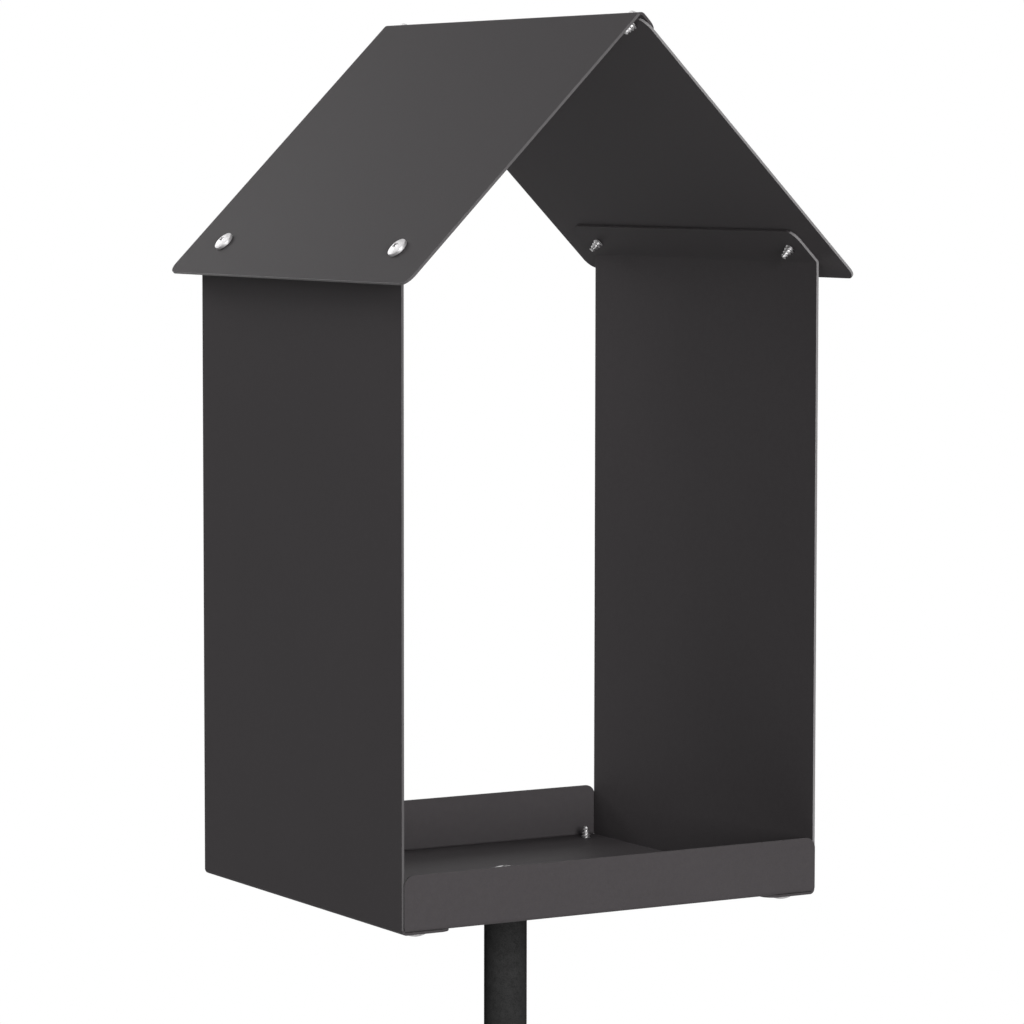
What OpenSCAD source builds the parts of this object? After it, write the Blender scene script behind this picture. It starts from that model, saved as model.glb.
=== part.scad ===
// Bird feeder: a small house of bent sheet steel on a round pole.
// The house has two bent walls, a seed tray with two lips, and a roof of two panels,
// held with pan-head screws. The pole is a tube in plugged sections.
// Millimetres, +Z up. The origin is the middle of the pole's lower face, at ground level.

/* [Sheet] */
// thickness of every sheet
sheet_t = 1; // [0.8:0.1:1.6]
// inner radius of every bend
bend_r = 1; // [0.6:0.1:2]

/* [Walls] */
// width over the outer faces of the two walls
house_w = 180; // [150:1:230]
// depth of the walls, front edge to back edge
wall_d = 159; // [130:1:200]
// from the underside of the base flange to the roof's underside, on the wall's outer face
wall_h = 241; // [180:1:320]
// width of the base flange, from the wall's outer face
base_flange = 21.5; // [18:0.5:30]
// length of the roof flange up the slope, from the wall's outer face
roof_flange = 16.7; // [15:0.1:24]
// corner radius of the flanges
flange_corner_r = 5; // [3:0.5:8]

/* [Roof] */
// pitch of both panels, in degrees
roof_pitch = 45; // [38:1:50]
// depth of the roof, front edge to back edge
roof_d = 190; // [170:1:240]
// how far the eaves run down past the walls' outer faces, along the slope
eave_overhang = 9; // [4:0.5:20]
// length of the ridge flange down the far slope, from the ridge
ridge_flange = 11; // [10.5:0.5:16]
// corner radius of the panels at the eaves
eave_corner_r = 5; // [3:0.5:10]
// corner radius of the ridge flange, and of the panel under it
ridge_corner_r = 6; // [3:0.5:7]
// clear length between the ridge bend and the panel under the flange
ridge_clear = 0.3; // [0.2:0.1:0.6]

/* [Tray] */
// height of the lips, from the underside of the tray's floor
lip_h = 21; // [12:0.5:40]
// how far each end of a lip stops short of the wall's outer face
lip_short = 0.6; // [0.2:0.1:1.5]
// radius of the lips' upper corners
lip_corner_r = 4; // [2:0.5:9]
// clearance between the walls' edges and the lips
lip_gap = 0.1; // [0.1:0.1:0.8]
// clearance between the tray's floor and the walls' bends
floor_gap = 0.3; // [0.2:0.1:1]

/* [Screws] */
// diameter of the small screws over the thread
screw_d = 3.9; // [3:0.1:4.5]
// length of the small screws under the head
screw_l = 6.5; // [5.5:0.5:9]
// length of the tapered tip
screw_tip = 2; // [1:0.1:3]
// diameter of the small pan heads
head_d = 8; // [6.5:0.1:8]
// height of the small pan heads
head_h = 2.2; // [1.6:0.1:3]
// added to a screw's diameter for the holes it passes through
hole_clear = 0.2; // [0.1:0.1:0.6]
// eave screws: up the slope from the walls' outer faces
eave_screw_up = 7.5; // [6.5:0.1:8.5]
// eave screws: in from the walls' front and back edges
eave_screw_in = 10.5; // [8:0.5:20]
// ridge screws: down the slope from the ridge
ridge_screw_down = 5.2; // [5.2:0.1:6.4]
// ridge screws: in from the roof's front and back edges
ridge_screw_in = 9.5; // [7:0.5:20]
// tray screws: in from the walls' outer faces
tray_screw_side = 10; // [9:0.5:12]
// tray screws: in from the walls' front and back edges
tray_screw_in = 8.5; // [7:0.5:16]

/* [Pole] */
// diameter of the pole
pole_d = 16.6; // [14:0.1:25]
// wall of the pole's tube
pole_wall = 1; // [0.8:0.1:1.6]
// height of the pole, from the ground to the underside of the tray
pole_h = 1000; // [600:10:1600]
// length of the spigot that joins two sections of the pole
spigot_l = 40; // [20:1:60]
// length over which a section's end is drawn in to its spigot
spigot_neck = 6; // [3:1:12]
// clearance on the radius of the spigots and of the plug
spigot_gap = 0.1; // [0.1:0.1:0.4]
// thickness of the closed lower end
pole_foot_t = 2; // [1:0.5:5]
// length of the plug in the pole's upper end
plug_l = 18; // [16:1:40]
// diameter of the pole screw over the thread
pole_screw_d = 6; // [4:0.5:8]
// length of the pole screw under the head
pole_screw_l = 14; // [8:0.5:16]
// length of the pole screw's tapered tip
pole_screw_tip = 2; // [1:0.5:4]
// diameter of the pole screw's head
pole_head_d = 11; // [9:0.5:13]
// height of the pole screw's head
pole_head_h = 5; // [3:0.5:6]

/* [Hidden] */
$fn = 48;
cut = 1;
bend_ro = bend_r + sheet_t;
half_w = house_w / 2;
half_d = wall_d / 2;
half_roof = roof_d / 2;
slope_w = half_w / cos(roof_pitch);
panel_l = slope_w + eave_overhang;
// height of the walls' lower faces, and of the roof's underside where its slopes meet
house_z = pole_h - sheet_t;
apex_z = house_z + wall_h + half_w * tan(roof_pitch);
// along the right slope from that apex: the ridge outside, and the ridge bend's inner corner
ridge_in = sheet_t * (1 / tan(roof_pitch) - tan(roof_pitch)) / 2;
ridge_out = ridge_in - sheet_t * tan(roof_pitch);
// where the ridge bend ends on the right slope and on the left slope
bend_end_right = ridge_in + bend_r * tan(roof_pitch);
bend_end_left = bend_end_right - sheet_t / tan(roof_pitch);
hole_d = screw_d + hole_clear;
pole_hole_d = pole_screw_d + hole_clear;
pole_section = pole_h / 3;
pole_bore = pole_d - 2 * pole_wall;
spigot_d = pole_bore - 2 * spigot_gap;
spigot_bore = spigot_d - 2 * pole_wall;
coat = [0.24, 0.235, 0.235];
pole_coat = [0.07, 0.07, 0.07];
zinc = [0.78, 0.78, 0.77];

// section of a bend about the origin, from angle a0 to angle a1
module bend(a0, a1) {
    reach = 2 * bend_ro;
    intersection() {
        difference() {
            circle(bend_ro);
            circle(bend_r);
        }
        polygon([[0, 0], reach * [cos(a0), sin(a0)], reach * [cos(a1), sin(a1)]]);
    }
}

// a section in X and Z, drawn out along Y
module along_y(depth) {
    rotate([90, 0, 0])
        linear_extrude(depth, center = true)
            children();
}

// what rounding takes off a corner at the origin, of a sheet towards +X and +Y
module corner(r, through) {
    linear_extrude(through, center = true)
        difference() {
            translate([-cut, -cut])
                square(r + cut);
            translate([r, r])
                circle(r);
        }
}

// both corners of an edge along Y at X = 0, of a sheet towards +X
module corners(depth, r) {
    for (side = [0, 1])
        mirror([0, side, 0])
            translate([0, -depth / 2, 0])
                corner(r, 4 * bend_ro);
}

// the right slope: from the apex, X runs down the roof's underside and Z stands on it
module on_right_slope() {
    translate([0, 0, apex_z])
        rotate([0, roof_pitch, 0])
            children();
}

// places of the right side's screws, with Z out of the face under the head
module at_eave_screw(end) {
    on_right_slope()
        translate([slope_w - eave_screw_up, end * (half_d - eave_screw_in), sheet_t])
            children();
}

module at_ridge_screw(end) {
    on_right_slope()
        translate([ridge_out + ridge_screw_down, end * (half_roof - ridge_screw_in), 2 * sheet_t])
            children();
}

module at_tray_screw(end) {
    translate([half_w - tray_screw_side, end * (half_d - tray_screw_in), house_z])
        rotate([180, 0, 0])
            children();
}

module screw_hole(d) {
    cylinder(h = 8 * sheet_t, d = d, center = true);
}

// right wall: base flange, wall and roof flange bent from one sheet
module wall() {
    turn = 90 - roof_pitch;
    set_back = bend_ro * tan(turn / 2);
    color(coat)
        difference() {
            translate([0, 0, house_z])
                along_y(wall_d)
                    union() {
                        translate([half_w - base_flange, 0])
                            square([base_flange - bend_ro, sheet_t]);
                        translate([half_w - bend_ro, bend_ro])
                            bend(-90, 0);
                        translate([half_w - sheet_t, bend_ro])
                            square([sheet_t, wall_h - set_back - bend_ro]);
                        translate([half_w - bend_ro, wall_h - set_back])
                            bend(0, turn);
                        translate([half_w, wall_h])
                            rotate(-roof_pitch)
                                translate([-roof_flange, -sheet_t])
                                    square([roof_flange - set_back, sheet_t]);
                    }
            translate([half_w - base_flange, 0, house_z])
                corners(wall_d, flange_corner_r);
            on_right_slope()
                translate([slope_w - roof_flange, 0, 0])
                    corners(wall_d, flange_corner_r);
            for (end = [-1, 1]) {
                at_tray_screw(end)
                    screw_hole(hole_d);
                at_eave_screw(end)
                    screw_hole(hole_d);
            }
        }
}

module left_wall() {
    mirror([1, 0, 0])
        wall();
}

module right_wall() {
    wall();
}

// floor between the walls, with a lip across the front and one across the back
module tray() {
    lip_w = house_w - 2 * lip_short;
    lip_y = half_d + lip_gap;
    floor_x = half_w - bend_ro - floor_gap;
    color(coat)
        difference() {
            translate([0, 0, pole_h])
                rotate([90, 0, 90])
                    linear_extrude(lip_w, center = true)
                        union() {
                            translate([bend_r - lip_y, 0])
                                square([2 * (lip_y - bend_r), sheet_t]);
                            for (side = [0, 1])
                                mirror([side, 0]) {
                                    translate([lip_y - bend_r, bend_ro])
                                        bend(-90, 0);
                                    translate([lip_y, bend_ro])
                                        square([sheet_t, lip_h - bend_ro]);
                                }
                        }
            for (side = [0, 1])
                mirror([side, 0, 0]) {
                    translate([floor_x, -lip_y, pole_h - cut])
                        cube([half_w, 2 * lip_y, lip_h + 2 * cut]);
                    translate([lip_w / 2, 0, pole_h + lip_h])
                        rotate([90, 180, 0])
                            corner(lip_corner_r, 2 * wall_d);
                    for (end = [-1, 1])
                        at_tray_screw(end)
                            screw_hole(hole_d);
                }
            translate([0, 0, pole_h])
                screw_hole(pole_hole_d);
        }
}

// left panel, bent over the ridge into a flange on the right panel
module roof_left() {
    color(coat)
        difference() {
            on_right_slope()
                along_y(roof_d)
                    union() {
                        translate([bend_end_right, sheet_t])
                            square([ridge_out + ridge_flange - bend_end_right, sheet_t]);
                        translate([bend_end_right, sheet_t - bend_r])
                            bend(90, 90 + 2 * roof_pitch);
                        rotate(2 * roof_pitch)
                            translate([-panel_l, 0])
                                square([panel_l - bend_end_left, sheet_t]);
                    }
            mirror([1, 0, 0])
                on_right_slope()
                    translate([panel_l, 0, 0])
                        mirror([1, 0, 0])
                            corners(roof_d, eave_corner_r);
            on_right_slope()
                translate([ridge_out + ridge_flange, 0, 0])
                    mirror([1, 0, 0])
                        corners(roof_d, ridge_corner_r);
            for (end = [-1, 1]) {
                mirror([1, 0, 0])
                    at_eave_screw(end)
                        screw_hole(hole_d);
                at_ridge_screw(end)
                    screw_hole(hole_d);
            }
        }
}

// right panel, which ends under the ridge flange
module roof_right() {
    panel_top = bend_end_right + ridge_clear;
    color(coat)
        difference() {
            on_right_slope()
                translate([panel_top, -half_roof, 0])
                    cube([panel_l - panel_top, roof_d, sheet_t]);
            on_right_slope() {
                translate([panel_top, 0, 0])
                    corners(roof_d, ridge_corner_r);
                translate([panel_l, 0, 0])
                    mirror([1, 0, 0])
                        corners(roof_d, eave_corner_r);
            }
            for (end = [-1, 1]) {
                at_eave_screw(end)
                    screw_hole(hole_d);
                at_ridge_screw(end)
                    screw_hole(hole_d);
            }
        }
}

// pan-head screw with a cross recess: the head stands on Z = 0 and the shank runs down
module screw(d, l, tip, pan_d, pan_h) {
    rim = 0.55 * pan_h;
    dome_r = (pan_d * pan_d / 4 + (pan_h - rim) * (pan_h - rim)) / (2 * (pan_h - rim));
    slot_w = 0.13 * pan_d;
    slot_l = 0.55 * pan_d;
    slot_h = 0.55 * pan_h;
    color(zinc)
        difference() {
            union() {
                intersection() {
                    cylinder(h = pan_h, d = pan_d);
                    translate([0, 0, pan_h - dome_r])
                        sphere(dome_r);
                }
                translate([0, 0, tip - l])
                    cylinder(h = l - tip, d = d);
                translate([0, 0, -l])
                    cylinder(h = tip, d1 = 0.5 * d, d2 = d);
            }
            for (turn = [0, 90])
                rotate(turn)
                    translate([-slot_l / 2, -slot_w / 2, pan_h - slot_h])
                        cube([slot_l, slot_w, slot_h + cut]);
        }
}

module small_screw() {
    screw(screw_d, screw_l, screw_tip, head_d, head_h);
}

module eave_screw_left_front() {
    mirror([1, 0, 0])
        at_eave_screw(-1)
            small_screw();
}

module eave_screw_left_back() {
    mirror([1, 0, 0])
        at_eave_screw(1)
            small_screw();
}

module eave_screw_right_front() {
    at_eave_screw(-1)
        small_screw();
}

module eave_screw_right_back() {
    at_eave_screw(1)
        small_screw();
}

module ridge_screw_front() {
    at_ridge_screw(-1)
        small_screw();
}

module ridge_screw_back() {
    at_ridge_screw(1)
        small_screw();
}

module tray_screw_left_front() {
    mirror([1, 0, 0])
        at_tray_screw(-1)
            small_screw();
}

module tray_screw_left_back() {
    mirror([1, 0, 0])
        at_tray_screw(1)
            small_screw();
}

module tray_screw_right_front() {
    at_tray_screw(-1)
        small_screw();
}

module tray_screw_right_back() {
    at_tray_screw(1)
        small_screw();
}

module pole_screw() {
    translate([0, 0, pole_h + sheet_t])
        screw(pole_screw_d, pole_screw_l, pole_screw_tip, pole_head_d, pole_head_h);
}

// plug in the pole's upper end, bored for the pole screw
module pole_plug() {
    color(pole_coat)
        translate([0, 0, pole_h - plug_l])
            difference() {
                cylinder(h = plug_l, d = spigot_d);
                translate([0, 0, -cut])
                    cylinder(h = plug_l + 2 * cut, d = pole_hole_d);
            }
}

module pole_upper() {
    color(pole_coat)
        translate([0, 0, 2 * pole_section])
            difference() {
                cylinder(h = pole_section, d = pole_d);
                translate([0, 0, -cut])
                    cylinder(h = pole_section + 2 * cut, d = pole_bore);
            }
}

// a section whose upper end is drawn in to a spigot, with its bore from the given height
module spigot_section(bore_from) {
    color(pole_coat)
        difference() {
            union() {
                cylinder(h = pole_section, d = pole_d);
                cylinder(h = pole_section + spigot_l, d = spigot_d);
            }
            translate([0, 0, bore_from])
                cylinder(h = pole_section - spigot_neck - bore_from, d = pole_bore);
            translate([0, 0, bore_from])
                cylinder(h = pole_section + spigot_l, d = spigot_bore);
        }
}

module pole_middle() {
    translate([0, 0, pole_section])
        spigot_section(-cut);
}

module pole_lower() {
    spigot_section(pole_foot_t);
}

left_wall();
right_wall();
tray();
roof_left();
roof_right();
eave_screw_left_front();
eave_screw_left_back();
eave_screw_right_front();
eave_screw_right_back();
ridge_screw_front();
ridge_screw_back();
tray_screw_left_front();
tray_screw_left_back();
tray_screw_right_front();
tray_screw_right_back();
pole_screw();
pole_plug();
pole_upper();
pole_middle();
pole_lower();
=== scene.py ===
import math
import bpy
from mathutils import Matrix, Vector


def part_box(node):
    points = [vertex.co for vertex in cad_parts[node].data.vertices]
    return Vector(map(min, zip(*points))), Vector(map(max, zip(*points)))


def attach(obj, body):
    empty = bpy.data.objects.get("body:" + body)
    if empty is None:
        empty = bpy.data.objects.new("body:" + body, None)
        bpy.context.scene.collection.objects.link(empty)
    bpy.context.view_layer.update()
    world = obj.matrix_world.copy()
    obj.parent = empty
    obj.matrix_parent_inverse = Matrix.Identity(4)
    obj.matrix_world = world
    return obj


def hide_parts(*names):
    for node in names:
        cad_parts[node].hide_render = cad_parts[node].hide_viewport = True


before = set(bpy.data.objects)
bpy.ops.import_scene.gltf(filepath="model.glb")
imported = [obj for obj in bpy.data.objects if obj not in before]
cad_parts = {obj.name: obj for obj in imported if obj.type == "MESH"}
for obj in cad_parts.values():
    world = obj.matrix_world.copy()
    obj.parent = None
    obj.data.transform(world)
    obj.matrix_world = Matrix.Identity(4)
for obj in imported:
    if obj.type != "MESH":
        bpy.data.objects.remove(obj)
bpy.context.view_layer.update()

# sizes of the feeder, in metres
MM = 0.001
NEAR = 0.001 * MM
SHEET = 1.0 * MM
BEND = 1.0 * MM
BEND_OUT = BEND + SHEET
HALF_W = 90.0 * MM
HALF_D = 79.5 * MM
WALL_H = 241.0 * MM
BASE_FLANGE = 21.5 * MM
ROOF_FLANGE = 16.7 * MM
FLANGE_CORNER = 5.0 * MM
PITCH = math.radians(45)
HALF_ROOF = 95.0 * MM
EAVE = 9.0 * MM
RIDGE_FLANGE = 11.0 * MM
RIDGE_CLEAR = 0.3 * MM
EAVE_CORNER = 5.0 * MM
RIDGE_CORNER = 6.0 * MM
LIP_H = 21.0 * MM
LIP_SHORT = 0.6 * MM
LIP_CORNER = 4.0 * MM
LIP_GAP = 0.1 * MM
LIP_FIT = 0.02 * MM
FLOOR_GAP = 0.3 * MM
EDGE_ROUND = 0.12 * MM
SCREW_D = 3.9 * MM
SCREW_L = 6.5 * MM
SCREW_TIP = 2.0 * MM
SCREW_PITCH = 1.3 * MM
HEAD_D = 8.0 * MM
HEAD_H = 2.2 * MM
HEAD_RIM = 1.2 * MM
HOLE_CLEAR = 0.2 * MM
DRILL_L = 8.0 * MM
EAVE_SCREW_UP = 7.5 * MM
EAVE_SCREW_Y = HALF_D - 10.5 * MM
RIDGE_SCREW_DOWN = 5.2 * MM
RIDGE_SCREW_IN = 9.5 * MM
TRAY_SCREW_SIDE = 10.0 * MM
TRAY_SCREW_IN = 8.5 * MM
POLE_SCREW_D = 6.0 * MM
POLE_SCREW_L = 14.0 * MM
POLE_SCREW_TIP = 2.0 * MM
POLE_SCREW_PITCH = 1.8 * MM
POLE_HEAD_D = 11.0 * MM
POLE_HEAD_H = 5.0 * MM
POLE_HEAD_RIM = 3.6 * MM
POLE_D = 16.6 * MM
POLE_WALL = 1.0 * MM
SPIGOT_L = 40.0 * MM
SPIGOT_NECK = 6.0 * MM
SPIGOT_GAP = 0.1 * MM
POLE_FOOT = 2.0 * MM
POLE_EASE = 0.4 * MM

# how finely round shapes are divided, and which steps of the lips' bends close the corners
BEND_STEPS = 8
BEND_STEP = math.pi / 2 / BEND_STEPS
CLOSED_STEPS = (3.5, 5.5)
CORNER_STEPS = 12
EDGE_STEPS = 3
DOME_STEPS = 10
HOLE_SIDES = 48
HEAD_SIDES = 64
THREAD_SIDES = 32
POLE_SIDES = 96

# what counts as an edge, how far a face must look one way, and a sheet's two finishes: its coat, and a
# painted highlight on its cut edges
CUT_EDGE_ANGLE = math.radians(50)
SMOOTH_ANGLE = math.radians(40)
FACES_FRONT = 0.5
FACES_LEFT = 0.7
FACE_SLOT = 0
HIGHLIGHT_SLOT = 1

# a screw's details, as shares of its head's width and height, its thread's width, its pitch and its tip
HEAD_EASE = 0.06
DOME_START = 0.98
RECESS_L = 0.56
RECESS_W = 0.13
RECESS_H = 1.1
RECESS_FOOT_L = 0.3
RECESS_FOOT_W = 0.5
THREAD_SUNK = 0.3
THREAD_LEAD = 1.3
SPARE_TURNS = 2
CORE_R = 0.37
CREST_R = 0.5
FLANK_START = 0.42
CREST_START = 0.66
CREST_END = 0.74
TIP_END = 0.42
TIP_REACH = 2.0

# how far the recesses are turned round their screws
SCREW_TURN = math.radians(37)
POLE_SCREW_TURN = math.radians(15)

TRAY_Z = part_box("tray")[0].z
HOUSE_Z = TRAY_Z - SHEET
APEX_Z = HOUSE_Z + WALL_H + HALF_W * math.tan(PITCH)
SLOPE_W = HALF_W / math.cos(PITCH)
PANEL_L = SLOPE_W + EAVE

# along the right slope from the apex: the ridge bend's inner corner, outer corner and end
RIDGE_IN = SHEET * (1 / math.tan(PITCH) - math.tan(PITCH)) / 2
RIDGE_OUT = RIDGE_IN - SHEET * math.tan(PITCH)
BEND_END_RIGHT = RIDGE_IN + BEND * math.tan(PITCH)
# along the left slope from the apex: the bend's other end
BEND_END_LEFT = BEND_END_RIGHT - SHEET / math.tan(PITCH)

# from the apex, X down the right slope's underside and Z standing on it
ON_RIGHT_SLOPE = Matrix.Translation((0, 0, APEX_Z)) @ Matrix.Rotation(PITCH, 4, "Y")
FLIP_X = Matrix.Scale(-1, 4, (1, 0, 0))


# finishes

class Value:
    """A shader socket that can stand in a sum."""

    def __init__(self, finish, socket):
        self.finish = finish
        self.socket = socket

    def maths(self, operation, first, second):
        node = self.finish.node("ShaderNodeMath", {"operation": operation}, {0: first, 1: second})
        return Value(self.finish, node.outputs[0])

    def __add__(self, other):
        return self.maths("ADD", self, other)

    def __radd__(self, other):
        return self.maths("ADD", other, self)

    def __sub__(self, other):
        return self.maths("SUBTRACT", self, other)

    def __rsub__(self, other):
        return self.maths("SUBTRACT", other, self)

    def __mul__(self, other):
        return self.maths("MULTIPLY", self, other)

    def __rmul__(self, other):
        return self.maths("MULTIPLY", other, self)


class Finish:
    """A material, or the world around the object, built up from nodes."""

    def __init__(self, owner):
        self.owner = owner
        owner.use_nodes = True
        self.tree = owner.node_tree
        self.tree.nodes.clear()

    def node(self, kind, settings, sockets):
        node = self.tree.nodes.new(kind)
        for key, value in settings.items():
            if key == "stops":
                ramp = node.color_ramp
                while len(ramp.elements) < len(value):
                    ramp.elements.new(1.0)
                for element, (position, colour) in zip(ramp.elements, value):
                    element.position = position
                    element.color = colour
            else:
                setattr(node, key, value)
        for key, value in sockets.items():
            if isinstance(value, Value):
                self.tree.links.new(value.socket, node.inputs[key])
            elif isinstance(value, bpy.types.NodeSocket):
                self.tree.links.new(value, node.inputs[key])
            else:
                node.inputs[key].default_value = value
        return node

    def value(self, kind, settings, sockets, output=0):
        return Value(self, self.node(kind, settings, sockets).outputs[output])

    def surface(self, shader, kind="ShaderNodeOutputMaterial"):
        self.node(kind, {}, {"Surface": shader.outputs[0]})
        return self.owner


def new_finish(name):
    return Finish(bpy.data.materials.new(name))


def grey(level, warm=0.0):
    """Linear colour of an 8-bit screen grey, warmed by a few levels of red and half as many of blue."""
    def linear(v):
        v /= 255.0
        return v / 12.92 if v <= 0.04045 else ((v + 0.055) / 1.055) ** 2.4
    return (linear(level + warm), linear(level), linear(level + 0.5 * warm), 1.0)


# noise per metre, and the depth of its relief
GRAIN = 2600.0
PEEL = 420.0
DRIFT = 14.0
COAT_RELIEF = 0.06 * MM
CLOUD = 900.0
MARKS = 5200.0
ZINC_RELIEF = 0.02 * MM


def powder_coat(name, dark, light, roughness, specular):
    """Fine-textured powder coat: close grain, a soft orange peel and a broad drift of tone."""
    coat = new_finish(name)
    spot = coat.value("ShaderNodeTexCoord", {}, {}, "Object")
    grain = coat.value("ShaderNodeTexNoise", {}, {"Vector": spot, "Scale": GRAIN, "Detail": 2.0})
    peel = coat.value("ShaderNodeTexNoise", {}, {"Vector": spot, "Scale": PEEL, "Detail": 1.0})
    drift = coat.value("ShaderNodeTexNoise", {}, {"Vector": spot, "Scale": DRIFT, "Detail": 3.0})
    tone = 0.45 * grain + 0.2 * peel + 0.35 * drift
    colour = coat.value("ShaderNodeValToRGB", {"stops": [(0.3, dark), (0.7, light)]}, {"Fac": tone})
    rough = roughness - 0.06 + 0.08 * peel + 0.06 * drift
    relief = coat.value(
        "ShaderNodeBump", {},
        {"Strength": 0.35, "Distance": COAT_RELIEF, "Height": 0.6 * grain + 0.9 * peel})
    shader = coat.node("ShaderNodeBsdfPrincipled", {}, {
        "Base Color": colour, "Roughness": rough, "Normal": relief, "Specular IOR Level": specular})
    return coat.surface(shader)


def zinc_plate(name):
    """Bright zinc on steel, with fine turning marks and a faint cloud."""
    plate = new_finish(name)
    spot = plate.value("ShaderNodeTexCoord", {}, {}, "Object")
    cloud = plate.value("ShaderNodeTexNoise", {}, {"Vector": spot, "Scale": CLOUD, "Detail": 3.0})
    marks = plate.value("ShaderNodeTexNoise", {}, {"Vector": spot, "Scale": MARKS, "Detail": 1.0})
    colour = plate.value(
        "ShaderNodeValToRGB", {"stops": [(0.25, grey(160, 2)), (0.75, grey(192, 1))]}, {"Fac": cloud})
    rough = 0.42 + 0.12 * marks + 0.1 * cloud
    relief = plate.value("ShaderNodeBump", {}, {"Strength": 0.15, "Distance": ZINC_RELIEF, "Height": marks})
    shader = plate.node("ShaderNodeBsdfPrincipled", {}, {
        "Base Color": colour, "Metallic": 1.0, "Roughness": rough, "Normal": relief})
    return plate.surface(shader)


sheet_coat = powder_coat("sheet_coat", grey(65, 3), grey(73, 3), 0.55, 0.04)
# the cut edges get painted highlights: lighter than the coat, and much lighter on the right wall and right
# roof, where the light falls
left_edge_highlight = powder_coat("left_edge_highlight", grey(82, 2), grey(90, 2), 0.45, 0.2)
right_edge_highlight = powder_coat("right_edge_highlight", grey(122, 2), grey(132, 2), 0.4, 0.3)
pole_coat = powder_coat("pole_coat", grey(30), grey(60), 0.5, 0.0)
zinc = zinc_plate("zinc")


# shaping

def let_go():
    bpy.ops.object.select_all(action="DESELECT")


def take(piece):
    """Selects a piece alone and makes it the one that operators act on."""
    let_go()
    piece.select_set(True)
    bpy.context.view_layer.objects.active = piece


def blank(name, x0, x1, y0, y1, z):
    """A flat blank, to be bent and given its thickness."""
    let_go()
    bpy.ops.mesh.primitive_plane_add(size=1, location=((x0 + x1) / 2, (y0 + y1) / 2, z))
    piece = bpy.context.object
    piece.name = name
    piece.data.name = name
    piece.scale = (x1 - x0, y1 - y0, 1)
    bpy.ops.object.transform_apply(location=True, rotation=True, scale=True)
    return piece


def pick(piece, kind, test):
    """In edit mode, selects the vertices, edges or faces whose middle passes the test."""
    if bpy.context.mode != "OBJECT":
        bpy.ops.object.mode_set(mode="OBJECT")
    mesh = piece.data
    for group in (mesh.vertices, mesh.edges, mesh.polygons):
        group.foreach_set("select", [False] * len(group))
    groups = {"VERT": mesh.vertices, "EDGE": mesh.edges, "FACE": mesh.polygons}
    for item in groups[kind]:
        if kind == "VERT":
            corners = [item]
            middle = item.co
        else:
            corners = [mesh.vertices[v] for v in item.vertices]
            middle = sum((v.co for v in corners), Vector()) / len(corners)
        if test(middle):
            item.select = True
            for v in corners:
                v.select = True
    bpy.ops.object.mode_set(mode="EDIT")
    bpy.ops.mesh.select_mode(type=kind)


def done():
    bpy.ops.object.mode_set(mode="OBJECT")


def near(a, b):
    return abs(a - b) < NEAR


def fold(centre, angle):
    """Turns the picked edge about an axis along Y, leaving a bend behind it."""
    bpy.ops.mesh.spin(steps=BEND_STEPS, angle=angle, center=centre, axis=(0, 1, 0))


def pull(x, y, z):
    bpy.ops.mesh.extrude_region_move(TRANSFORM_OT_translate={"value": (x, y, z)})


def round_corners(piece, radius, test):
    pick(piece, "VERT", test)
    bpy.ops.mesh.bevel(affect="VERTICES", offset=radius, offset_type="OFFSET",
                       segments=CORNER_STEPS, profile=0.5)
    done()


def face_outward(piece):
    take(piece)
    bpy.ops.object.mode_set(mode="EDIT")
    bpy.ops.mesh.select_all(action="SELECT")
    bpy.ops.mesh.normals_make_consistent(inside=False)
    done()


def give_thickness(piece, side, highlight_coat):
    """Sheet thickness to one side of the skin, with the cut edges a little rounded and given a painted
    highlight.
    """
    piece.data.materials.append(sheet_coat)
    piece.data.materials.append(highlight_coat)
    face_outward(piece)
    # the first face is the flat blank's own, and it has to look up
    if piece.data.polygons[0].normal.z < 0:
        piece.data.flip_normals()
    sheet = piece.modifiers.new("sheet", "SOLIDIFY")
    sheet.thickness = SHEET
    sheet.offset = side
    sheet.use_even_offset = True
    sheet.material_offset_rim = HIGHLIGHT_SLOT
    bpy.ops.object.modifier_apply(modifier=sheet.name)
    edges = piece.modifiers.new("edges", "BEVEL")
    edges.width = EDGE_ROUND
    edges.segments = EDGE_STEPS
    edges.limit_method = "ANGLE"
    edges.angle_limit = CUT_EDGE_ANGLE
    edges.material = HIGHLIGHT_SLOT
    bpy.ops.object.modifier_apply(modifier=edges.name)
    face_outward(piece)


def limit_highlight(piece, shown):
    """Gives the cut edges that fail the test the coat of the faces; those that pass keep the painted
    highlight.
    """
    for face in piece.data.polygons:
        if face.material_index == HIGHLIGHT_SLOT and not shown(face.normal, face.center):
            face.material_index = FACE_SLOT


def place(piece, matrix):
    """Puts a finished piece where it belongs, with its place in its mesh."""
    take(piece)
    piece.matrix_world = matrix
    bpy.ops.object.transform_apply(location=True, rotation=True, scale=True)
    if matrix.determinant() < 0:
        face_outward(piece)


def combine(piece, tool, operation):
    """Joins a tool to a piece, or cuts it out of the piece, and clears the tool away."""
    take(piece)
    joint = piece.modifiers.new("joint", "BOOLEAN")
    joint.operation = operation
    joint.solver = "EXACT"
    joint.object = tool
    bpy.ops.object.modifier_apply(modifier=joint.name)
    bpy.data.objects.remove(tool, do_unlink=True)


def drill(piece, seats, hole_d):
    """Cuts the holes that the screws pass through."""
    for seat in seats:
        let_go()
        bpy.ops.mesh.primitive_cylinder_add(vertices=HOLE_SIDES, radius=hole_d / 2, depth=DRILL_L)
        bit = bpy.context.object
        place(bit, seat)
        combine(piece, bit, "DIFFERENCE")


def smooth(piece):
    """Smooth shading on what is round, with flat faces kept flat."""
    take(piece)
    bpy.ops.object.shade_smooth_by_angle(angle=SMOOTH_ANGLE)
    flat = piece.modifiers.new("flat", "WEIGHTED_NORMAL")
    flat.keep_sharp = True
    bpy.ops.object.modifier_apply(modifier=flat.name)


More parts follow.
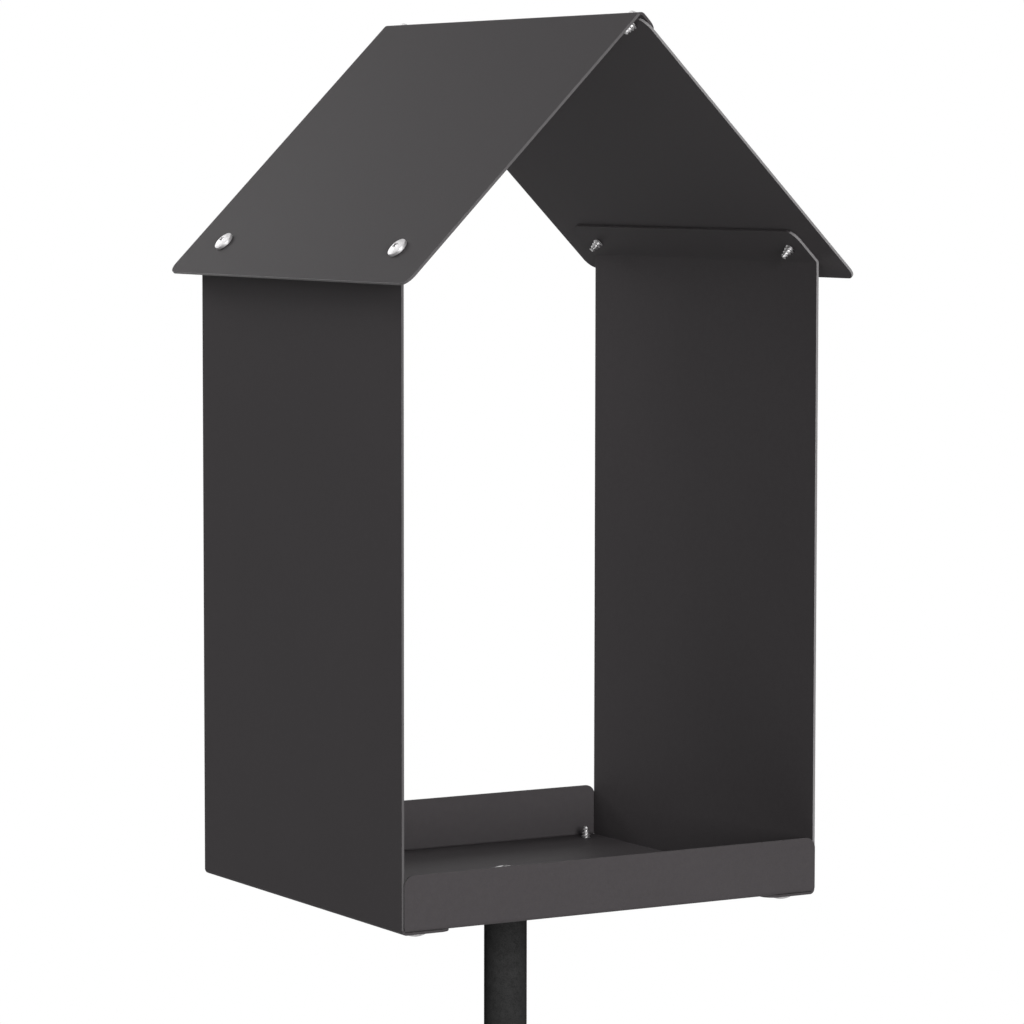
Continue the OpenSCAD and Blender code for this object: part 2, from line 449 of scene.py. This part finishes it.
def chain(name, points, closed):
    """Edges from point to point in the XZ plane, for a turned piece or a thread."""
    let_go()
    bpy.ops.mesh.primitive_plane_add(size=MM)
    piece = bpy.context.object
    piece.name = name
    piece.data.name = name
    bpy.ops.object.mode_set(mode="EDIT")
    bpy.ops.mesh.select_mode(type="VERT")
    bpy.ops.mesh.select_all(action="SELECT")
    bpy.ops.mesh.merge(type="CENTER")
    bpy.ops.transform.translate(value=(points[0][0], 0, points[0][1]))
    for (x0, z0), (x1, z1) in zip(points, points[1:]):
        bpy.ops.mesh.extrude_vertices_move(TRANSFORM_OT_translate={"value": (x1 - x0, 0, z1 - z0)})
    if closed:
        ends = (points[0], points[-1])
        pick(piece, "VERT", lambda m: any(near(m.x, x) and near(m.z, z) for x, z in ends))
        bpy.ops.mesh.edge_face_add()
    done()
    return piece


def turn_round(piece, steps, turns=1, rise=0.0):
    """Turns the chain about Z: once round for a turned piece, or rising with each turn for a thread."""
    take(piece)
    lathe = piece.modifiers.new("lathe", "SCREW")
    lathe.axis = "Z"
    lathe.angle = 2 * math.pi
    lathe.steps = steps
    lathe.render_steps = steps
    lathe.iterations = turns
    lathe.screw_offset = rise
    lathe.use_merge_vertices = rise == 0
    lathe.merge_threshold = NEAR
    bpy.ops.object.modifier_apply(modifier=lathe.name)
    bpy.ops.object.mode_set(mode="EDIT")
    bpy.ops.mesh.select_all(action="SELECT")
    bpy.ops.mesh.remove_doubles(threshold=2 * NEAR)
    bpy.ops.mesh.normals_make_consistent(inside=False)
    done()


def twin(piece, name):
    """A copy with a mesh of its own."""
    copy = piece.copy()
    copy.data = piece.data.copy()
    copy.name = name
    copy.data.name = name
    bpy.context.scene.collection.objects.link(copy)
    return copy


def stands_for(piece, node):
    """Fixes a finished piece to the feeder in place of its plain solid."""
    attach(piece, "root")
    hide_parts(node)


# sheets

def make_wall(name, matrix, highlight_coat):
    """Base flange, wall and roof flange, bent from one sheet: the right wall, which a flip makes the left."""
    turn = math.pi / 2 - PITCH
    set_back = BEND_OUT * math.tan(turn / 2)
    foot = HALF_W - BEND_OUT
    wall = blank(name, HALF_W - BASE_FLANGE, foot, -HALF_D, HALF_D, HOUSE_Z)
    pick(wall, "EDGE", lambda m: near(m.x, foot))
    fold((foot, 0, HOUSE_Z + BEND_OUT), math.pi / 2)
    pull(0, 0, WALL_H - set_back - BEND_OUT)
    fold((foot, 0, HOUSE_Z + WALL_H - set_back), turn)
    run = ROOF_FLANGE - set_back
    pull(-run * math.cos(PITCH), 0, run * math.sin(PITCH))
    done()
    top = max(v.co.z for v in wall.data.vertices)
    round_corners(wall, FLANGE_CORNER, lambda m: near(m.x, HALF_W - BASE_FLANGE) or near(m.z, top))
    give_thickness(wall, 1, highlight_coat)
    place(wall, matrix)
    above = HOUSE_Z + BEND_OUT
    # the painted highlight stays on the cut edges that face front or back, above the base flange
    limit_highlight(wall, lambda normal, middle: abs(normal.y) > FACES_FRONT and middle.z > above)
    return wall


def make_tray(name):
    """Floor, with a lip bent up across the front and one across the back."""
    lip_y = HALF_D + LIP_GAP
    floor_x = HALF_W - BEND_OUT - FLOOR_GAP
    tray = blank(name, -floor_x, floor_x, BEND - lip_y, lip_y - BEND, TRAY_Z)
    for side in (-1, 1):
        edge = side * (lip_y - BEND)
        pick(tray, "EDGE", lambda m: near(m.y, edge))
        bpy.ops.mesh.spin(
            steps=BEND_STEPS, angle=-side * math.pi / 2,
            center=(0, edge, TRAY_Z + BEND_OUT), axis=(1, 0, 0))
        pull(0, 0, LIP_H - BEND_OUT)
        done()
    # where the lips' bends run beside the walls they just clear them; past the walls' edges they widen
    beside = HALF_D - (lip_y - BEND)
    wide = floor_x
    for step in range(1, BEND_STEPS):
        turn = step * BEND_STEP
        rise = BEND_OUT * (1 - math.cos(turn))
        reach = HALF_W - LIP_SHORT
        if BEND * math.sin(turn) < beside:
            reach = HALF_W - SHEET - LIP_FIT
        if BEND_OUT * math.sin(turn - BEND_STEP) < beside:
            reach = HALF_W - BEND_OUT + math.sqrt(BEND * BEND - (BEND - rise) ** 2) - LIP_FIT
        pick(tray, "VERT", lambda m: m.z > TRAY_Z + rise - NEAR)
        bpy.ops.transform.resize(value=(reach / wide, 1, 1), center_override=(0, 0, 0))
        wide = reach
    done()
    round_corners(tray, LIP_CORNER, lambda m: near(m.z, TRAY_Z + LIP_H))
    give_thickness(tray, 1, left_edge_highlight)
    # past the walls' edges, the outside of the lips' bends closes the corners
    start, end = (BEND_OUT * (1 - math.cos(steps * BEND_STEP)) for steps in CLOSED_STEPS)
    pick(tray, "VERT", lambda m: abs(m.y) > HALF_D and start < m.z - TRAY_Z < end)
    widen = (HALF_W - LIP_SHORT) / (HALF_W - SHEET - LIP_FIT)
    bpy.ops.transform.resize(value=(widen, 1, 1), center_override=(0, 0, 0))
    done()
    # the painted highlight stays on the lips' left-facing cut edges
    limit_highlight(tray, lambda normal, middle: normal.x < -FACES_LEFT and middle.z > TRAY_Z + BEND_OUT)
    return tray


def make_roof_left(name):
    """Left panel, bent over the ridge into a flange that lies on the right panel."""
    start = RIDGE_OUT + RIDGE_FLANGE
    panel = blank(name, BEND_END_RIGHT, start, -HALF_ROOF, HALF_ROOF, 2 * SHEET)
    pick(panel, "EDGE", lambda m: near(m.x, BEND_END_RIGHT))
    fold((BEND_END_RIGHT, 0, SHEET - BEND), 2 * PITCH)
    run = PANEL_L - BEND_END_LEFT
    pull(-run * math.cos(2 * PITCH), 0, -run * math.sin(2 * PITCH))
    done()
    low = min(v.co.z for v in panel.data.vertices)
    round_corners(panel, RIDGE_CORNER, lambda m: near(m.x, start))
    round_corners(panel, EAVE_CORNER, lambda m: near(m.z, low))
    give_thickness(panel, -1, left_edge_highlight)
    place(panel, ON_RIGHT_SLOPE)
    # the painted highlight stays on the cut edges left of the ridge
    limit_highlight(panel, lambda normal, middle: middle.x < 0)
    return panel


def make_roof_right(name):
    """Right panel, which ends under the ridge flange."""
    top = BEND_END_RIGHT + RIDGE_CLEAR
    panel = blank(name, top, PANEL_L, -HALF_ROOF, HALF_ROOF, SHEET)
    round_corners(panel, RIDGE_CORNER, lambda m: near(m.x, top))
    round_corners(panel, EAVE_CORNER, lambda m: near(m.x, PANEL_L))
    give_thickness(panel, -1, right_edge_highlight)
    place(panel, ON_RIGHT_SLOPE)
    # the painted highlight stays on the front and back cut edges
    limit_highlight(panel, lambda normal, middle: abs(normal.y) > FACES_FRONT)
    return panel


# screws

def make_screw(name, d, length, tip, pan_d, pan_h, rim, pitch):
    """Pan head with a cross recess, on a threaded shank with a blunt tapered tip."""
    dome = pan_h - rim
    dome_r = (pan_d * pan_d / 4 + dome * dome) / (2 * dome)
    widest = math.asin(pan_d / 2 / dome_r)
    soften = HEAD_EASE * pan_h
    profile = [(0, 0), (pan_d / 2 - soften, 0), (pan_d / 2, soften), (pan_d / 2, rim - soften)]
    for step in range(DOME_STEPS + 1):
        angle = widest * (1 - step / DOME_STEPS if step else DOME_START)
        profile.append((dome_r * math.sin(angle), pan_h - dome_r + dome_r * math.cos(angle)))
    head = chain(name, profile, False)
    turn_round(head, HEAD_SIDES)

    # the thread starts more than a turn below the tip and runs up into the head, and is then cut to length
    core, crest = CORE_R * d, CREST_R * d
    turns = math.ceil(length / pitch) + SPARE_TURNS
    low = -length - THREAD_LEAD * pitch
    ridge = [(core, 0), (core, FLANK_START), (crest, CREST_START), (crest, CREST_END), (core, 1)]
    thread = chain(name + "_thread", [(r, low + share * pitch) for r, share in ridge], False)
    turn_round(thread, THREAD_SIDES, turns, pitch)
    for level, below in ((THREAD_SUNK * pan_h, False), (-length, True)):
        pick(thread, "VERT", lambda m: True)
        bpy.ops.mesh.bisect(
            plane_co=(0, 0, level), plane_no=(0, 0, 1), clear_inner=below, clear_outer=not below)
        done()
    pick(thread, "VERT", lambda m: True)
    bpy.ops.mesh.fill_holes(sides=0)
    pick(thread, "VERT", lambda m: near(m.z, -length))
    bpy.ops.transform.resize(
        value=(TIP_END, TIP_END, 1), center_override=(0, 0, -length),
        use_proportional_edit=True, proportional_edit_falloff="LINEAR", proportional_size=TIP_REACH * tip)
    bpy.context.scene.tool_settings.use_proportional_edit = False
    done()
    face_outward(thread)
    combine(head, thread, "UNION")

    for turn in (0, math.pi / 2):
        let_go()
        bpy.ops.mesh.primitive_cube_add(size=1)
        blade = bpy.context.object
        blade.scale = (RECESS_L * pan_d, RECESS_W * pan_d, RECESS_H * pan_h)
        bpy.ops.object.transform_apply(location=True, rotation=True, scale=True)
        pick(blade, "FACE", lambda m: near(m.z, -RECESS_H * pan_h / 2))
        bpy.ops.transform.resize(value=(RECESS_FOOT_L, RECESS_FOOT_W, 1), center_override=(0, 0, 0))
        done()
        place(blade, Matrix.Translation((0, 0, pan_h)) @ Matrix.Rotation(turn, 4, "Z"))
        combine(head, blade, "DIFFERENCE")
    head.data.materials.clear()
    head.data.materials.append(zinc)
    smooth(head)
    return head


# where each screw sits: Z along the screw, from the face under its head

def at_eave(side, end):
    seat = ON_RIGHT_SLOPE @ Matrix.Translation((SLOPE_W - EAVE_SCREW_UP, side * end * EAVE_SCREW_Y, SHEET))
    return seat if side > 0 else Matrix.Rotation(math.pi, 4, "Z") @ seat


def at_ridge(end):
    return ON_RIGHT_SLOPE @ Matrix.Translation(
        (RIDGE_OUT + RIDGE_SCREW_DOWN, end * (HALF_ROOF - RIDGE_SCREW_IN), 2 * SHEET))


def at_tray(side, end):
    seat = Matrix.Translation((side * (HALF_W - TRAY_SCREW_SIDE), end * (HALF_D - TRAY_SCREW_IN), HOUSE_Z))
    return seat @ Matrix.Rotation(math.pi, 4, "X")


ENDS = {"front": -1, "back": 1}
SIDES = {"left": -1, "right": 1}
AT_POLE = Matrix.Translation((0, 0, TRAY_Z + SHEET))

# the right wall takes the brighter painted edge highlight, the left wall the dimmer one
right_wall = make_wall("right_wall_sheet", Matrix.Identity(4), right_edge_highlight)
left_wall = make_wall("left_wall_sheet", FLIP_X, left_edge_highlight)
tray = make_tray("tray_sheet")
roof_left = make_roof_left("roof_left_sheet")
roof_right = make_roof_right("roof_right_sheet")
for end in ENDS.values():
    drill(right_wall, [at_eave(1, end), at_tray(1, end)], SCREW_D + HOLE_CLEAR)
    drill(left_wall, [at_eave(-1, end), at_tray(-1, end)], SCREW_D + HOLE_CLEAR)
    drill(tray, [at_tray(1, end), at_tray(-1, end)], SCREW_D + HOLE_CLEAR)
    drill(roof_left, [at_eave(-1, end), at_ridge(end)], SCREW_D + HOLE_CLEAR)
    drill(roof_right, [at_eave(1, end), at_ridge(end)], SCREW_D + HOLE_CLEAR)
drill(tray, [AT_POLE], POLE_SCREW_D + HOLE_CLEAR)
for piece, node in ((right_wall, "right_wall"), (left_wall, "left_wall"), (tray, "tray"),
                    (roof_left, "roof_left"), (roof_right, "roof_right")):
    smooth(piece)
    stands_for(piece, node)

small_screw = make_screw("small_screw", SCREW_D, SCREW_L, SCREW_TIP, HEAD_D, HEAD_H, HEAD_RIM, SCREW_PITCH)
seats = {}
for end_name, end in ENDS.items():
    seats["ridge_screw_" + end_name] = at_ridge(end)
    for side_name, side in SIDES.items():
        seats["eave_screw_%s_%s" % (side_name, end_name)] = at_eave(side, end)
        seats["tray_screw_%s_%s" % (side_name, end_name)] = at_tray(side, end)
for count, (node, seat) in enumerate(seats.items()):
    screw = twin(small_screw, node + "_threaded")
    place(screw, seat @ Matrix.Rotation(SCREW_TURN * count, 4, "Z"))
    stands_for(screw, node)
bpy.data.objects.remove(small_screw, do_unlink=True)

pole_screw = make_screw(
    "pole_screw_threaded", POLE_SCREW_D, POLE_SCREW_L, POLE_SCREW_TIP,
    POLE_HEAD_D, POLE_HEAD_H, POLE_HEAD_RIM, POLE_SCREW_PITCH)
place(pole_screw, AT_POLE @ Matrix.Rotation(POLE_SCREW_TURN, 4, "Z"))
stands_for(pole_screw, "pole_screw")


# pole

def make_section(name, low, high, spigot, bore_from):
    """A turned length of tube, with or without a spigot; a bore that starts above low closes the foot."""
    outer, bore = POLE_D / 2, POLE_D / 2 - POLE_WALL
    pin, pin_bore = bore - SPIGOT_GAP, bore - SPIGOT_GAP - POLE_WALL
    top, neck = high + SPIGOT_L, high - SPIGOT_NECK
    outline = [(outer - POLE_EASE, low), (outer, low + POLE_EASE)]
    outline += [(outer, high - POLE_EASE), (outer - POLE_EASE, high)]
    if spigot:
        outline += [(pin, high), (pin, top - POLE_EASE), (pin - POLE_EASE, top)]
        outline += [(pin_bore, top), (pin_bore, neck), (bore, neck)]
    else:
        outline += [(bore, high)]
    outline += [(bore, bore_from)]
    if bore_from > low:
        outline = [(0, low)] + outline + [(0, bore_from)]
    section = chain(name, outline, bore_from <= low)
    turn_round(section, POLE_SIDES)
    section.data.materials.append(pole_coat)
    smooth(section)
    return section


third = TRAY_Z / 3
stands_for(make_section("pole_upper_tube", 2 * third, TRAY_Z, False, 2 * third), "pole_upper")
stands_for(make_section("pole_middle_tube", third, 2 * third, True, third), "pole_middle")
stands_for(make_section("pole_lower_tube", 0, third, True, POLE_FOOT), "pole_lower")

# the plug shows from no side, so its plain solid stays
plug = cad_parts["pole_plug"]
plug.data.materials.clear()
plug.data.materials.append(pole_coat)


# floor, light and camera

# colours, and lengths in metres
WHITE = (1.0, 1.0, 1.0, 1.0)
PALE = (0.8, 0.8, 0.8, 1.0)
FLOOR_SIZE = 6.0
FADE_REACH = 2.0
LAMP_AWAY = 2.2
LAMPS_AIM = Vector((0, 0, HOUSE_Z + 160.0 * MM))

# the share of the paper's own glow that is held back at the pole
SHADE_AT_POLE = 0.5

# the camera that was fitted to the photograph: its focal length in pixels, its turns and its place
PHOTO_W_PX = 1024.0
FOCAL_PX = 4298.4671
SENSOR_W = 36.0
CAMERA_TURN = math.radians(30.5338)
CAMERA_TILT = math.radians(4.6615)
CAMERA_ROLL = math.radians(0.0749)
CAMERA_PLACE = Vector((-0.8339481, -1.4184425, HOUSE_Z + 0.278327))
CLIP_START = 0.05
CLIP_END = 100.0


def shows_backdrop(finish):
    """1 for the rays that show what is behind the feeder: the camera's, glossy ones and transmitted ones."""
    path = finish.node("ShaderNodeLightPath", {}, {})
    shown = Value(finish, path.outputs["Is Camera Ray"])
    for ray in ("Is Glossy Ray", "Is Transmission Ray"):
        shown = shown.maths("MAXIMUM", shown, Value(finish, path.outputs[ray]))
    return shown


# paper that takes a shadow at the pole and fades to white round it
let_go()
bpy.ops.mesh.primitive_plane_add(size=FLOOR_SIZE)
floor = bpy.context.object
floor.name = "studio_floor"
paper = new_finish("floor_paper")
spot = paper.value("ShaderNodeTexCoord", {}, {}, "Object")
scaled = paper.value("ShaderNodeMapping", {}, {"Vector": spot, "Scale": (1 / FADE_REACH,) * 3})
round_pole = paper.value("ShaderNodeTexGradient", {"gradient_type": "SPHERICAL"}, {"Vector": scaled})
pale = paper.node("ShaderNodeBsdfDiffuse", {}, {"Color": PALE})
glow = paper.node("ShaderNodeEmission", {}, {"Color": WHITE, "Strength": 1.0})
fade = shows_backdrop(paper) * (1.0 - SHADE_AT_POLE * round_pole)
floor.data.materials.append(paper.surface(paper.node(
    "ShaderNodeMixShader", {}, {"Fac": fade, 1: pale.outputs[0], 2: glow.outputs[0]})))

# a white surround that is seen and mirrored, but doesn't light the coat
studio = Finish(bpy.data.worlds.new("studio"))
unlit = studio.node("ShaderNodeBackground", {}, {"Color": WHITE, "Strength": 0.0})
white = studio.node("ShaderNodeBackground", {}, {"Color": WHITE, "Strength": 1.0})
bpy.context.scene.world = studio.surface(studio.node(
    "ShaderNodeMixShader", {}, {"Fac": shows_backdrop(studio), 1: unlit.outputs[0], 2: white.outputs[0]}),
    "ShaderNodeOutputWorld")


def softbox(name, azimuth, elevation, width, power):
    """A square lamp that faces the house; azimuth 0 is the front, and positive is the right."""
    a, e = math.radians(azimuth), math.radians(elevation)
    out_to = Vector((math.sin(a) * math.cos(e), -math.cos(a) * math.cos(e), math.sin(e)))
    lamp = bpy.data.lights.new(name, "AREA")
    lamp.shape = "SQUARE"
    lamp.size = width
    lamp.energy = power
    lamp_object = bpy.data.objects.new(name, lamp)
    bpy.context.scene.collection.objects.link(lamp_object)
    lamp_object.location = LAMPS_AIM + out_to * LAMP_AWAY
    lamp_object.rotation_euler = (-out_to).to_track_quat("-Z", "Y").to_euler()
    lamp_object.visible_camera = False


softbox("front_box", -13, 8, 0.8, 46)
softbox("right_box", 90, 30, 1.0, 29)
softbox("upper_left_box", -135, 50, 1.0, 10.5)
softbox("right_back_box", 135, 20, 1.0, 4.5)
softbox("back_box", -165, 25, 0.6, 12.5)

eye = bpy.data.cameras.new("photo_camera")
eye.sensor_width = SENSOR_W
eye.lens = FOCAL_PX * SENSOR_W / PHOTO_W_PX
eye.clip_start = CLIP_START
eye.clip_end = CLIP_END
forward = Vector((math.sin(CAMERA_TURN), math.cos(CAMERA_TURN), 0))
ahead = math.cos(CAMERA_TILT) * forward - math.sin(CAMERA_TILT) * Vector((0, 0, 1))
level = Vector((math.cos(CAMERA_TURN), -math.sin(CAMERA_TURN), 0))
above = level.cross(ahead)
right = math.cos(CAMERA_ROLL) * level + math.sin(CAMERA_ROLL) * above
up = math.cos(CAMERA_ROLL) * above - math.sin(CAMERA_ROLL) * level
camera = bpy.data.objects.new("photo_camera", eye)
axes = Matrix((right, up, -ahead)).transposed().to_4x4()
camera.matrix_world = Matrix.Translation(CAMERA_PLACE) @ axes
bpy.context.scene.collection.objects.link(camera)
bpy.context.scene.camera = camera
bpy.context.scene.view_settings.view_transform = "Standard"
